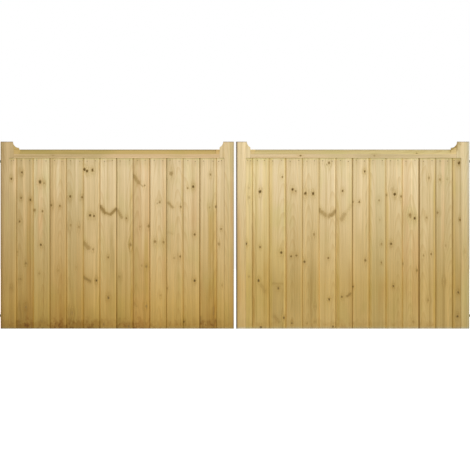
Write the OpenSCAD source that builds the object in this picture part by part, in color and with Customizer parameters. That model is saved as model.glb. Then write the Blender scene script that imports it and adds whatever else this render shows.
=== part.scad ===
// Pair of boarded timber driveway gates, hung on hook-and-band hinges.
// Millimetres. +X runs along the gate from its left end to its right, +Y from its front face to its
// back, and +Z is up. The origin is the centre of the mounting face of the left lower hook's plate.

/* [Leaves] */
// Width of each leaf
leaf_w = 1500; // [1200:1:1800]
// Height of each leaf, to the top of its horns
leaf_h = 1203; // [1000:1:1500]
// Thickness of the stiles and the top rail
frame_t = 45; // [40:1:60]
// Gap between the two leaves when they are shut
leaf_gap = 14; // [8:1:30]
// Chamfer along the outer edges of the stiles
arris = 4; // [1:0.5:6]

/* [Stiles] */
// Width of the stile that carries the hinges
hanging_stile_w = 84; // [70:1:110]
// Width of the stile in the middle of the gateway
meeting_stile_w = 92; // [70:1:110]
// Height of the horns above the top rail
horn_h = 51; // [36:1:70]
// Height of the square step that the scoop below each horn leaves above the top rail
scoop_step = 11; // [2:1:20]
// Length of the scoop that runs on over the end of the top rail, at the hanging stile
ear_l = 35; // [20:1:50]
// Width of the scoop that is cut into the meeting stile
meeting_scoop_w = 23; // [10:1:35]

/* [Rails] */
// Height of the top rail's face, above the boards
top_rail_face = 55; // [40:1:80]
// Height of the bevel along the top rail's front edge
bevel_h = 29; // [10:1:35]
// Depth of that bevel
bevel_d = 10; // [4:0.5:15]
// Square length left between the bevel and the meeting stile
bevel_stop = 22; // [10:1:60]
// Height of the middle and bottom rails, which lie behind the boards
back_rail_h = 95; // [70:1:150]
// Height of the bottom rail above the foot of the leaf
bottom_rail_z = 70; // [30:1:150]
// Width of the braces
brace_w = 70; // [45:1:100]

/* [Joinery] */
// Thickness of the tenons
tenon_t = 13; // [8:0.5:18]
// Length of the tenons
tenon_l = 55; // [20:1:60]
// Shoulder above and below each tenon
tenon_shoulder = 10; // [5:0.5:20]
// Clearance of the tenons in their mortises
tenon_clear = 0.2; // [0.1:0.05:0.5]

/* [Boards] */
// Width of board that shows between one joint and the next
board_cover = 107; // [80:0.5:140]
// Thickness of the boards
board_t = 16; // [12:0.5:20]
// Distance from the frame's face back to the boards' face
board_setback = 2; // [0.5:0.5:6]
// Width of the rebate in the stiles and the top rail that the boards lie in
rebate_w = 30; // [15:1:40]
// Gap at each joint between boards
board_gap = 1; // [0.5:0.1:3]
// Gap between the top of the boards and the top rail
board_top_gap = 1.5; // [0.5:0.5:5]
// Chamfer on each side of a joint, which makes its vee
vee = 5; // [1:0.5:6]
// Thickness of the tongues
tongue_t = 5; // [3:0.5:6]
// Length of the tongues
tongue_l = 7; // [4:0.5:10]
// Clearance of a tongue in its groove
tongue_clear = 0.4; // [0.2:0.1:0.6]
// Narrowest strip that an edge board may be ripped to
min_rip = 30; // [20:1:50]
// Shift of the right leaf's joints towards its meeting stile
right_joint_shift = 6; // [0:0.5:10]

/* [Hinges] */
// Diameter of the hook's pin
pin_d = 19; // [12:1:25]
// Radial clearance of the pin in the band's eye
pin_clear = 0.3; // [0.1:0.05:0.5]
// Height of the pin's tip above the eye
pin_proud = 8; // [4:1:15]
// Length of the bands from the pin to the tip
band_l = 450; // [250:5:600]
// Width of the bands
band_w = 50; // [35:1:60]
// Thickness of the bands
band_t = 6; // [4:0.5:8]
// Diameter of the screw holes in the bands
band_hole_d = 11; // [6:0.5:14]
// Number of screw holes in each band
band_holes = 4; // [2:1:6]
// Gap between the hanging stile and the post or pier
post_gap = 16; // [12:1:40]
// Thickness of the hook's plate
plate_t = 6; // [4:0.5:9]
// Width of the hook's plate
plate_w = 50; // [40:1:80]
// Diameter of the bolt holes in the plate
plate_hole_d = 13; // [8:0.5:16]
// Clear space between the bolt holes and the hook's arm or the pin's tip
plate_hole_room = 6; // [4:0.5:15]
// Plate left beyond each bolt hole
plate_margin = 16; // [10:1:30]
// Height of the hook's arm
arm_h = 16; // [10:1:25]
// Width of the hook's arm
arm_w = 20; // [12:1:22]
// Gap between the hook's arm and the eye that it carries
seat_gap = 0.3; // [0.1:0.05:0.5]

/* [Hidden] */
$fn = 64;
TIMBER = "#c9ad78";
STEEL = "#8d9296";
SIDES = ["left", "right"];
CUT = 1;  // overrun of a cut past the face that it opens

// Depths behind the frame's face
rebate_d = board_setback + board_t;
back_rail_t = frame_t - rebate_d;
tenon_y = rebate_d + (back_rail_t - tenon_t) / 2;
tongue_y = board_setback + (board_t + vee - tongue_t) / 2;

// Heights above the foot of the leaf
rail_top_z = leaf_h - horn_h;
lip_z = rail_top_z - top_rail_face;
top_rail_z = lip_z - rebate_w;
board_h = lip_z - board_top_gap;
bottom_rail_top_z = bottom_rail_z + back_rail_h;
middle_rail_z = (bottom_rail_top_z + top_rail_z - back_rail_h) / 2;
middle_rail_top_z = middle_rail_z + back_rail_h;

// Places along the leaf, from its hanging edge
rail_x0 = hanging_stile_w;
rail_x1 = leaf_w - meeting_stile_w;
rail_l = rail_x1 - rail_x0;
scoop_r = horn_h - scoop_step;
scoop_x = hanging_stile_w + ear_l;
bevel_x1 = rail_x1 - bevel_stop;
panel_x0 = hanging_stile_w - rebate_w;
panel_x1 = leaf_w - meeting_stile_w + rebate_w;
panel_w = panel_x1 - panel_x0;

// Boards: whole ones in the middle, and an edge board ripped for each side
whole_boards = floor((panel_w - 2 * (min_rip + right_joint_shift)) / board_cover);
board_count = whole_boards + 2;
rip_w = (panel_w - whole_boards * board_cover) / 2;

// Hinges: the eye is rolled back off the leaf, level with its hanging edge
pin_r = pin_d / 2;
eye_r = pin_r + pin_clear + band_t;
pin_x = eye_r;
pin_y = frame_t + eye_r;
upper_hinge_z = (top_rail_z + rail_top_z) / 2;
lower_hinge_z = bottom_rail_z + back_rail_h / 2;
HINGE_ZS = [lower_hinge_z, upper_hinge_z];
boss_r = (arm_w / 2 + eye_r) / 2;
hole_pitch = (band_l - hanging_stile_w / 2 - band_w / 2) / (band_holes - 1);

// Hook heights from the middle of the band
arm_top = -band_w / 2 - seat_gap;
arm_bottom = arm_top - arm_h;
pin_tip = band_w / 2 + pin_proud;
hole_top = pin_tip + plate_hole_room + plate_hole_d / 2;
hole_bottom = arm_bottom - plate_hole_room - plate_hole_d / 2;
plate_mid = (hole_top + hole_bottom) / 2;
plate_h = hole_top - hole_bottom + plate_hole_d + 2 * plate_margin;

// Middle of the gateway, from the origin
mid_x = post_gap + leaf_w + leaf_gap / 2;

FRAME_PARTS = ["hanging_stile", "meeting_stile", "top_rail", "middle_rail", "bottom_rail", "braces"];
HINGE_PARTS = ["bands", "hooks"];
BOARD_PARTS = [for (i = [0 : board_count - 1]) board_name(i)];
NODES = [for (side = SIDES, part = concat(FRAME_PARTS, BOARD_PARTS, HINGE_PARTS)) str(side, "_", part)];
node = "all";

function board_name(i) = str("board_", i < 9 ? "0" : "", i + 1);

// Place of joint k of a leaf, counted from the hanging side; the panel's two edges come before and after
function joint_x(side, k) =
    k < 0 ? panel_x0 : k > whole_boards ? panel_x1 :
    panel_x0 + rip_w + (side == "left" ? 0 : right_joint_shift) + k * board_cover;

function wanted(side, part) = node == "all" || node == str(side, "_", part);

// Leaf coordinates (hanging edge, front face and foot at zero) to the part's own frame
module on_side(side) {
    translate([side == "left" ? 0 : 2 * mid_x, 0, 0])
        mirror([side == "left" ? 0 : 1, 0, 0])
            translate([post_gap, -pin_y, -lower_hinge_z - plate_mid])
                children();
}

// The end of the leaf seen from its meeting edge
module from_meeting_edge() {
    translate([leaf_w, 0, 0])
        mirror([1, 0, 0])
            children();
}

// Quarter-round scoop that falls from a horn towards the top rail, about a centre at the horn's height
module scoop_cut(centre_x) {
    translate([centre_x, -CUT, leaf_h])
        rotate([-90, 0, 0])
            cylinder(r = scoop_r, h = frame_t + 2 * CUT);
}

// Box that a tenon or its mortise fills, reaching length from x towards the stile's outer edge
module tenon_box(x, length, z0, z1, grow) {
    translate([x - length, tenon_y - grow, z0 + tenon_shoulder - grow])
        cube([length, tenon_t + 2 * grow, z1 - z0 - 2 * (tenon_shoulder - grow)]);
}

module stile(width, scoop_centre_x) {
    color(TIMBER)
        difference() {
            linear_extrude(leaf_h)
                polygon([
                    [arris, 0], [width, 0], [width, frame_t],
                    [arris, frame_t], [0, frame_t - arris], [0, arris],
                ]);
            translate([width - rebate_w, -CUT, -CUT])
                cube([rebate_w + CUT, rebate_d + CUT, lip_z + CUT]);
            scoop_cut(scoop_centre_x);
            translate([CUT, 0, 0]) {
                mortise_l = tenon_l + tenon_clear + CUT;
                tenon_box(width, mortise_l, top_rail_z, rail_top_z, tenon_clear);
                tenon_box(width, mortise_l, middle_rail_z, middle_rail_top_z, tenon_clear);
                tenon_box(width, mortise_l, bottom_rail_z, bottom_rail_top_z, tenon_clear);
            }
        }
}

module hanging_stile() {
    stile(hanging_stile_w, scoop_x);
}

module meeting_stile() {
    from_meeting_edge()
        stile(meeting_stile_w, meeting_stile_w - meeting_scoop_w + scoop_r);
}

// A tenon at each end of a rail that stands from z0 to z1
module tenons(z0, z1) {
    tenon_box(hanging_stile_w, tenon_l, z0, z1, 0);
    from_meeting_edge()
        tenon_box(meeting_stile_w, tenon_l, z0, z1, 0);
}

// Stopped bevel along the top rail's upper front edge, its ends splayed back into the rail
module bevel_cut() {
    intersection() {
        translate([scoop_x - CUT, 0, rail_top_z])
            rotate([90, 0, 90])
                linear_extrude(bevel_x1 - scoop_x + 2 * CUT)
                    polygon([[-CUT, -bevel_h - CUT * bevel_h / bevel_d], [bevel_d, 0], [bevel_d, CUT], [-CUT, CUT]]);
        translate([0, 0, lip_z])
            linear_extrude(top_rail_face + 2 * CUT)
                polygon([
                    [scoop_x - CUT, -CUT], [bevel_x1 + CUT, -CUT],
                    [bevel_x1 - bevel_d, bevel_d], [scoop_x + bevel_d, bevel_d],
                ]);
    }
}

module top_rail() {
    color(TIMBER)
        difference() {
            union() {
                translate([rail_x0, 0, top_rail_z])
                    cube([rail_l, frame_t, rail_top_z - top_rail_z]);
                translate([rail_x0, 0, top_rail_z])
                    cube([ear_l, frame_t, leaf_h - top_rail_z]);
                tenons(top_rail_z, rail_top_z);
            }
            translate([rail_x0 - CUT, -CUT, top_rail_z - CUT])
                cube([rail_l + 2 * CUT, rebate_d + CUT, rebate_w + CUT]);
            scoop_cut(scoop_x);
            bevel_cut();
        }
}

// Rail that lies behind the boards, flush with the back of the stiles
module back_rail(z) {
    color(TIMBER) {
        translate([rail_x0, rebate_d, z])
            cube([rail_l, back_rail_t, back_rail_h]);
        tenons(z, z + back_rail_h);
    }
}

module middle_rail() {
    back_rail(middle_rail_z);
}

module bottom_rail() {
    back_rail(bottom_rail_z);
}

// Brace that rises from the hanging side to the meeting side, cut to the corners of its bay
module brace(z0, z1) {
    bay_h = z1 - z0;
    color(TIMBER)
        translate([rail_x0, frame_t, z0])
            rotate([90, 0, 0])
                linear_extrude(back_rail_t)
                    intersection() {
                        square([rail_l, bay_h]);
                        rotate(atan2(bay_h, rail_l))
                            translate([-brace_w, -brace_w / 2])
                                square([norm([rail_l, bay_h]) + 2 * brace_w, brace_w]);
                    }
}

module braces() {
    brace(bottom_rail_top_z, middle_rail_z);
    brace(middle_rail_top_z, top_rail_z);
}

// Section of a leaf's board i, with a groove towards the hanging side and a tongue towards the meeting side
function board_section(side, i) =
    let (
        first = i == 0,
        last = i == board_count - 1,
        x0 = joint_x(side, i - 1) + board_gap / 2,
        x1 = joint_x(side, i) - board_gap / 2,
        front = board_setback,
        vee0 = first ? 0 : vee,
        vee1 = last ? 0 : vee,
        groove_x = x0 + tongue_l - board_gap + tongue_clear,
        tongue_x = x1 + tongue_l
    )
    concat(
        [[x0, front + vee0], [x0 + vee0, front], [x1 - vee1, front], [x1, front + vee1]],
        last ? [] : [
            [x1, tongue_y], [tongue_x, tongue_y], [tongue_x, tongue_y + tongue_t], [x1, tongue_y + tongue_t],
        ],
        [[x1, rebate_d], [x0, rebate_d]],
        first ? [] : [
            [x0, tongue_y + tongue_t + tongue_clear], [groove_x, tongue_y + tongue_t + tongue_clear],
            [groove_x, tongue_y - tongue_clear], [x0, tongue_y - tongue_clear],
        ]
    );

module board(side, i) {
    color(TIMBER)
        linear_extrude(board_h)
            polygon(board_section(side, i));
}

// Flat band with its end rolled into an eye round the pin, and a round tip
module band() {
    color(STEEL)
        difference() {
            union() {
                translate([pin_x, pin_y, -band_w / 2])
                    cylinder(r = eye_r, h = band_w);
                translate([pin_x, frame_t, -band_w / 2])
                    cube([band_l - band_w / 2, band_t, band_w]);
                translate([pin_x + band_l - band_w / 2, frame_t + band_t, 0])
                    rotate([90, 0, 0])
                        cylinder(d = band_w, h = band_t);
            }
            translate([pin_x, pin_y, -band_w / 2 - CUT])
                cylinder(r = pin_r + pin_clear, h = band_w + 2 * CUT);
            for (k = [0 : band_holes - 1])
                translate([pin_x + band_l - band_w / 2 - k * hole_pitch, frame_t + band_t + CUT, 0])
                    rotate([90, 0, 0])
                        cylinder(d = band_hole_d, h = band_t + 2 * CUT);
        }
}

module bands() {
    for (z = HINGE_ZS)
        translate([0, 0, z])
            band();
}

// Bolt-on plate with an arm that carries the pin, and the eye of the band, on its boss
module hook() {
    color(STEEL)
        difference() {
            union() {
                translate([-post_gap, pin_y - plate_w / 2, plate_mid - plate_h / 2])
                    cube([plate_t, plate_w, plate_h]);
                translate([-post_gap, pin_y - arm_w / 2, arm_bottom])
                    cube([post_gap + pin_x, arm_w, arm_h]);
                translate([pin_x, pin_y, arm_bottom])
                    cylinder(r = boss_r, h = arm_h);
                translate([pin_x, pin_y, arm_bottom])
                    cylinder(r = pin_r, h = pin_tip - pin_proud / 2 - arm_bottom);
                translate([pin_x, pin_y, pin_tip - pin_proud / 2])
                    cylinder(r1 = pin_r, r2 = pin_r - pin_proud / 2, h = pin_proud / 2);
            }
            for (z = [hole_bottom, hole_top])
                translate([-post_gap - CUT, pin_y, z])
                    rotate([0, 90, 0])
                        cylinder(d = plate_hole_d, h = plate_t + 2 * CUT);
        }
}

module hooks() {
    for (z = HINGE_ZS)
        translate([0, 0, z])
            hook();
}

for (side = SIDES) {
    if (wanted(side, "hanging_stile")) on_side(side) hanging_stile();
    if (wanted(side, "meeting_stile")) on_side(side) meeting_stile();
    if (wanted(side, "top_rail")) on_side(side) top_rail();
    if (wanted(side, "middle_rail")) on_side(side) middle_rail();
    if (wanted(side, "bottom_rail")) on_side(side) bottom_rail();
    if (wanted(side, "braces")) on_side(side) braces();
    for (i = [0 : board_count - 1])
        if (wanted(side, board_name(i))) on_side(side) board(side, i);
    if (wanted(side, "bands")) on_side(side) bands();
    if (wanted(side, "hooks")) on_side(side) hooks();
}
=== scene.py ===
"""Looks of a boarded double driveway gate: pressure-treated softwood leaves on galvanised hinges."""
import math
from types import SimpleNamespace

import bmesh
import bpy
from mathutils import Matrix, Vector


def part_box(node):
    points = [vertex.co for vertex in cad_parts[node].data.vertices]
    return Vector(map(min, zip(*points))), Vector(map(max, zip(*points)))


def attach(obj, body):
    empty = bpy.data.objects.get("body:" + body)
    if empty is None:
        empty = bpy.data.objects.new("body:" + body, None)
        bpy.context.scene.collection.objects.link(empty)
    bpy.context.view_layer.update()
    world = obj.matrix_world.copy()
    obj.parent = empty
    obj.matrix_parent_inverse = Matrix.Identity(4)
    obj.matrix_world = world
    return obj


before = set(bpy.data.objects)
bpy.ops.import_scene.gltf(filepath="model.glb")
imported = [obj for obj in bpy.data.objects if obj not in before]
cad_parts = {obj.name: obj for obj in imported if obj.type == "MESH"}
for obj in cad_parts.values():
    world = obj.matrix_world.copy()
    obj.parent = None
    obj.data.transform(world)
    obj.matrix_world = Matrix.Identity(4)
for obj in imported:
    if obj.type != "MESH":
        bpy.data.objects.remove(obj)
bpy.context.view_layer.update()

# Lengths are in metres unless a comment says mm

MM = 0.001
UP = (0.0, 0.0, 1.0)
RIGHTWARD = (1.0, 0.0, 0.0)
BACKWARD = (0.0, 1.0, 0.0)
SIDES = ("left", "right")

# Places read from the frame

BOARD_COUNT = sum(name.startswith("left_board_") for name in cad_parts)
FRONT_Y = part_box("left_hanging_stile")[0].y
BOARD_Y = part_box("left_board_02")[0].y
FOOT_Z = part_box("left_hanging_stile")[0].z
HORN_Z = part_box("left_hanging_stile")[1].z
LEAF_H = HORN_Z - FOOT_Z
BOARD_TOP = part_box("left_board_02")[1].z - FOOT_Z
MID_X = (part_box("left_meeting_stile")[1].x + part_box("right_meeting_stile")[0].x) / 2
PAIR_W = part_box("right_hanging_stile")[1].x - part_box("left_hanging_stile")[0].x

# Sizes of the solids that their boxes don't show, heights from the foot

TONGUE = 7 * MM
VEE = 5 * MM
RAIL_TOP = 1152 * MM
BEVEL_H = 29 * MM
BEVEL_FOOT = RAIL_TOP - BEVEL_H
RAIL_FACE_H = 55 * MM
RAIL_LIP = RAIL_TOP - RAIL_FACE_H
BAND_L = 450 * MM
BAND_W = 50 * MM
BAND_T = 6 * MM
BAND_SCREWS = 4

# Timber colours (sRGB, 0 to 255) of the two leaves by height above the foot (mm)

LEAF_COLOURS = {
    "left": ((0, (164, 132, 63)), (160, (181, 149, 81)), (1000, (213, 190, 144))),
    "right": ((0, (184, 156, 95)), (280, (188, 159, 96)), (1000, (220, 198, 152))),
}

# Tones that the pieces differ by, as factors on the colour of the leaf

TONES = {
    "straw": (1.00, 1.00, 1.00),
    "pale": (1.05, 1.06, 1.09),
    "cream": (1.11, 1.13, 1.22),
    "ivory": (1.20, 1.21, 1.40),
    "lemon": (1.07, 1.09, 1.02),
    "sage": (0.95, 0.99, 1.00),
    "mist": (0.98, 1.11, 1.26),
    "olive": (0.91, 0.92, 0.90),
    "shade": (0.88, 0.86, 0.80),
    "dun": (0.84, 0.82, 0.74),
    "tan": (0.94, 0.90, 0.84),
    "pink": (1.04, 0.98, 0.98),
    "rose": (1.04, 0.93, 0.87),
    "gold": (0.94, 0.89, 0.68),
    "amber": (0.85, 0.76, 0.58),
    "soil": (0.75, 0.71, 0.63),
}


def plank(tone, stripes=(), knots=(), spikes=(), stain=0.3):
    """How one piece of timber looks.

    Stripes are (tone, left edge, right edge, upper end, lower end), knots (height, across, radius,
    strength) and spikes, which are knots sawn along their length, (height, across, height, across,
    thickness, strength). All are in mm, from the foot and from the middle of the piece. A rail or
    brace has its length for a height, from its middle. The stain at the foot goes from 0 to 1.
    """
    return SimpleNamespace(tone=tone, stripes=stripes, knots=knots, spikes=spikes, stain=stain)


# Height (mm) that a stripe ends at when it runs on to the head of a piece

HEAD = 1200

# Boards, counted from the hanging side

LEFT_BOARDS = (
    plank("shade", stain=0.5,
          stripes=[("pink", 0, 25, HEAD, 880), ("dun", -25, 25, 880, 480)],
          knots=[(965, -10, 8, 0.8), (265, -10, 8, 0.6)]),
    plank("dun", stain=1.0,
          stripes=[("tan", -12, 8, HEAD, 600), ("amber", 10, 40, 830, 0), ("soil", -50, 50, 200, 0)],
          knots=[(1005, -20, 8, 1), (840, -25, 8, 0.8), (830, 35, 8, 0.9), (690, -35, 9, 0.8),
                 (420, 5, 8, 0.7), (320, -30, 8, 0.6), (140, 5, 10, 0.7), (495, -50, 8, 0.5)]),
    plank("sage", stain=0.6,
          stripes=[("pink", -25, 5, HEAD, 600), ("pale", 5, 25, HEAD, 700),
                   ("olive", -30, 40, 800, 150)],
          knots=[(945, -10, 12, 0.9), (935, 15, 8, 0.6), (760, -45, 12, 0.6), (755, 5, 8, 0.7),
                 (540, -5, 8, 1), (355, -15, 8, 0.5), (50, 0, 8, 0.5)]),
    plank("tan", stain=1.0,
          stripes=[("cream", -12, 8, HEAD, 850), ("amber", 5, 45, 400, 0),
                   ("shade", -52, -22, 650, 0)],
          knots=[(795, -45, 11, 0.7), (790, 10, 8, 0.7), (375, 0, 10, 0.4)],
          spikes=[(250, 0, 225, 0, 10, 0.3)]),
    plank("olive", stain=1.0,
          stripes=[("cream", 5, 22, HEAD, 800), ("tan", 12, 50, 650, 60)],
          knots=[(850, -30, 10, 0.8), (845, 45, 10, 0.7), (665, -30, 11, 0.5), (655, 25, 11, 0.5),
                 (395, 10, 8, 0.3), (100, -20, 14, 0.5)]),
    plank("straw", stain=0.8,
          stripes=[("cream", -50, -35, HEAD, 300), ("cream", -25, 25, 640, 100)],
          knots=[(1025, -45, 10, 1), (1015, -30, 10, 0.9), (1020, 5, 10, 0.9), (730, -10, 9, 1),
                 (725, 15, 8, 0.9), (510, 10, 8, 0.6), (310, 30, 9, 1)],
          spikes=[(550, -50, 520, -20, 32, 0.75), (335, -55, 305, -10, 20, 1)]),
    plank("cream", stain=0.5,
          stripes=[("straw", -8, 10, HEAD, 780), ("straw", 0, 45, 720, 60),
                   ("olive", 12, 38, 640, 330)],
          knots=[(460, 0, 8, 0.7), (200, 0, 10, 0.8), (30, -30, 10, 0.6)],
          spikes=[(785, -50, 745, -20, 26, 1), (745, -20, 735, 10, 20, 0.85),
                  (735, 15, 770, 50, 22, 1), (1080, -10, 1080, 25, 12, 0.3)]),
    plank("pale", stain=0.75,
          stripes=[("olive", -56, -24, HEAD, 0), ("cream", -5, 22, HEAD, 500),
                   ("gold", 35, 50, 900, 0)],
          knots=[(710, 10, 8, 0.7), (540, 35, 13, 0.6), (335, -35, 10, 0.5), (15, 25, 11, 0.6)],
          spikes=[(760, -45, 715, -20, 22, 0.7)]),
    plank("pink", stain=0.75,
          stripes=[("cream", -3, 20, HEAD, 480), ("tan", -50, -25, HEAD, 100),
                   ("gold", 18, 45, 600, 0)],
          knots=[(920, 20, 8, 0.6), (660, 45, 11, 0.6), (655, -10, 8, 0.4), (400, 30, 10, 0.6),
                 (405, 0, 8, 0.4), (145, 30, 10, 0.6)],
          spikes=[(985, -52, 938, -18, 26, 0.75), (938, -18, 915, 8, 11, 0.6),
                  (165, -45, 145, -30, 14, 0.5)]),
    plank("cream", stain=0.4,
          stripes=[("pink", 25, 50, HEAD, 300), ("olive", -25, 15, 1100, 1045)],
          knots=[(815, 10, 9, 0.6), (805, -5, 8, 0.4), (560, -20, 11, 0.6), (555, 35, 10, 0.6),
                 (215, 15, 8, 0.4)]),
    plank("cream", stain=0.5,
          stripes=[("sage", -56, -34, HEAD, 400), ("straw", -34, -12, HEAD, 420)],
          knots=[(1000, -25, 16, 0.5), (785, 40, 9, 0.6), (455, -5, 9, 0.4), (465, 35, 9, 0.7),
                 (260, -50, 8, 0.5)],
          spikes=[(810, -40, 780, -15, 18, 0.7), (620, -40, 610, -15, 16, 0.3)]),
    plank("cream",
          stripes=[("pink", -5, 35, HEAD, 600)],
          knots=[(915, 10, 9, 1), (905, -25, 8, 0.6), (605, 20, 8, 0.8), (310, 20, 8, 1),
                 (45, -50, 8, 0.9)]),
    plank("pale", stain=0.85,
          stripes=[("gold", 0, 50, 775, 0), ("cream", -40, -10, HEAD, 700),
                   ("straw", -34, 0, 420, 0), ("tan", -54, -34, 400, 0), ("tan", -30, 45, 230, 0)],
          knots=[(990, 15, 8, 0.6), (785, 50, 10, 0.6), (780, 10, 8, 0.4)],
          spikes=[(135, 35, 95, 35, 12, 0.6), (75, -50, 40, -48, 15, 0.7), (60, 48, 45, 48, 12, 0.6)]),
    plank("cream", stain=0.4,
          stripes=[("pale", 5, 25, HEAD, 500)],
          knots=[(640, 5, 8, 0.6), (545, -10, 12, 0.5), (280, 10, 8, 0.4)]),
)
RIGHT_BOARDS = (
    plank("dun", stain=0.2,
          stripes=[("gold", -25, -8, HEAD, 0), ("olive", -25, 25, 220, 0),
                   ("olive", 10, 27, HEAD, 420)],
          knots=[(1065, 15, 10, 1), (700, 20, 8, 0.8), (235, 10, 9, 0.9), (80, 5, 10, 1)]),
    plank("olive", stain=0.1,
          stripes=[("pink", -15, 5, HEAD, 500), ("straw", 5, 40, 600, 0)],
          knots=[(960, -25, 10, 0.5), (960, 20, 8, 0.3), (745, -40, 9, 0.6), (535, 10, 10, 0.3),
                 (305, 0, 10, 0.3)]),
    plank("straw",
          stripes=[("gold", 38, 52, 1000, 0), ("cream", -30, 8, 700, 0)],
          knots=[(970, 10, 10, 0.5), (715, -5, 9, 0.5), (480, 25, 8, 0.7), (470, -25, 8, 0.5),
                 (185, 5, 9, 0.4)]),
    plank("pale", stain=0.2,
          stripes=[("cream", 25, 50, HEAD, 700), ("pink", -50, -10, HEAD, 200),
                   ("pink", 10, 50, 620, 100)],
          knots=[(730, -5, 16, 0.6), (710, 25, 10, 0.9), (375, 40, 10, 0.6), (420, -50, 10, 0.4),
                 (45, 15, 9, 0.5)]),
    plank("straw", stain=0.2,
          stripes=[("gold", -50, -35, 900, 0), ("pale", 20, 45, HEAD, 500)],
          knots=[(865, 5, 10, 1), (860, -50, 9, 0.5), (850, 45, 10, 0.6), (895, -10, 18, 0.25),
                 (545, -20, 9, 1), (275, -5, 7, 1)]),
    plank("sage", stain=0.25,
          stripes=[("gold", -50, -38, HEAD, 0), ("pale", -30, -10, HEAD, 550),
                   ("tan", 5, 50, 320, 80)],
          knots=[(825, 10, 8, 0.6), (700, 15, 8, 0.3), (545, 25, 9, 0.5), (425, 25, 7, 0.7)]),
    plank("straw",
          stripes=[("cream", -25, 5, HEAD, 650), ("pale", -42, 44, 440, 200)],
          knots=[(1010, 25, 9, 0.9), (815, -10, 7, 1), (815, -50, 7, 0.6), (440, 30, 10, 0.7),
                 (270, -50, 7, 0.9)]),
    plank("pale",
          stripes=[("gold", -50, -30, 800, 0), ("cream", -15, 20, HEAD, 600), ("tan", 25, 50, 420, 0)],
          knots=[(885, -10, 8, 0.8), (205, -15, 8, 0.8)],
          spikes=[(735, 2, 705, -15, 34, 0.6), (793, 45, 745, 12, 26, 0.3), (210, 20, 225, 40, 16, 1)]),
    plank("cream",
          stripes=[("straw", -50, -36, HEAD, 820)],
          knots=[(1065, 10, 10, 0.7), (1055, -5, 7, 0.4), (455, 5, 9, 0.7), (190, 10, 8, 1),
                 (15, 35, 8, 0.8)],
          spikes=[(765, -55, 730, -15, 32, 0.7), (730, 25, 755, 50, 28, 0.85),
                  (735, 15, 720, 10, 24, 0.7)]),
    plank("straw", stain=0.2,
          stripes=[("cream", -52, -42, HEAD, 0), ("pale", -15, 25, HEAD, 600),
                   ("olive", -20, 40, 420, 60)],
          knots=[(870, -35, 12, 0.9), (870, 15, 10, 1), (605, 20, 10, 0.5), (430, -40, 10, 0.8),
                 (145, 25, 9, 0.3), (45, 25, 8, 0.4), (35, -25, 8, 0.5)]),
    plank("straw", stain=0.1,
          stripes=[("pink", -52, -40, HEAD, 0), ("cream", -10, 12, HEAD, 650),
                   ("olive", -30, 40, 420, 60)],
          knots=[(895, -10, 9, 1), (885, 10, 7, 0.6), (465, -20, 8, 0.9), (470, 15, 8, 0.7),
                 (35, -15, 7, 0.9)]),
    plank("lemon",
          stripes=[("gold", -52, -38, HEAD, 0), ("cream", -32, 38, HEAD, 550),
                   ("olive", -30, 40, 380, 0)],
          knots=[(975, 30, 8, 0.7), (490, 25, 10, 1), (260, 5, 9, 0.8), (70, 40, 9, 0.9)],
          spikes=[(290, -30, 290, 30, 14, 0.45), (80, -20, 45, 10, 22, 0.6)]),
    plank("lemon", stain=0.2,
          stripes=[("amber", -54, -40, 700, 0), ("cream", -15, 10, HEAD, 600),
                   ("gold", 15, 50, 500, 0)],
          knots=[(880, -5, 11, 1), (525, -5, 7, 0.9), (310, -15, 9, 1), (10, 0, 10, 0.8)],
          spikes=[(285, 0, 240, 25, 24, 0.5)]),
    plank("lemon", stain=0.2,
          stripes=[("straw", 12, 25, 800, 0)],
          knots=[(905, 0, 8, 0.3), (845, 0, 13, 0.35), (545, -20, 9, 1), (335, 0, 8, 0.4)]),
)
BOARDS = {"left": LEFT_BOARDS, "right": RIGHT_BOARDS}

# How far the joint after each board stands open, with painted shade, from 0 to 1, or below 0 is tight,
# with painted light

JOINTS = {
    "left": (-0.3, -0.8, 0.2, -0.15, -0.5, -0.1, 0.3, 0.15, 0.2, 0.2, -0.1, 0.4, -0.2),
    "right": (0.2, 0.1, 0.9, -0.25, -0.3, -0.55, 0.35, -0.1, -0.2, -0.2, -0.3, 0.1, -0.1),
}

# Frame pieces of each leaf

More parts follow.
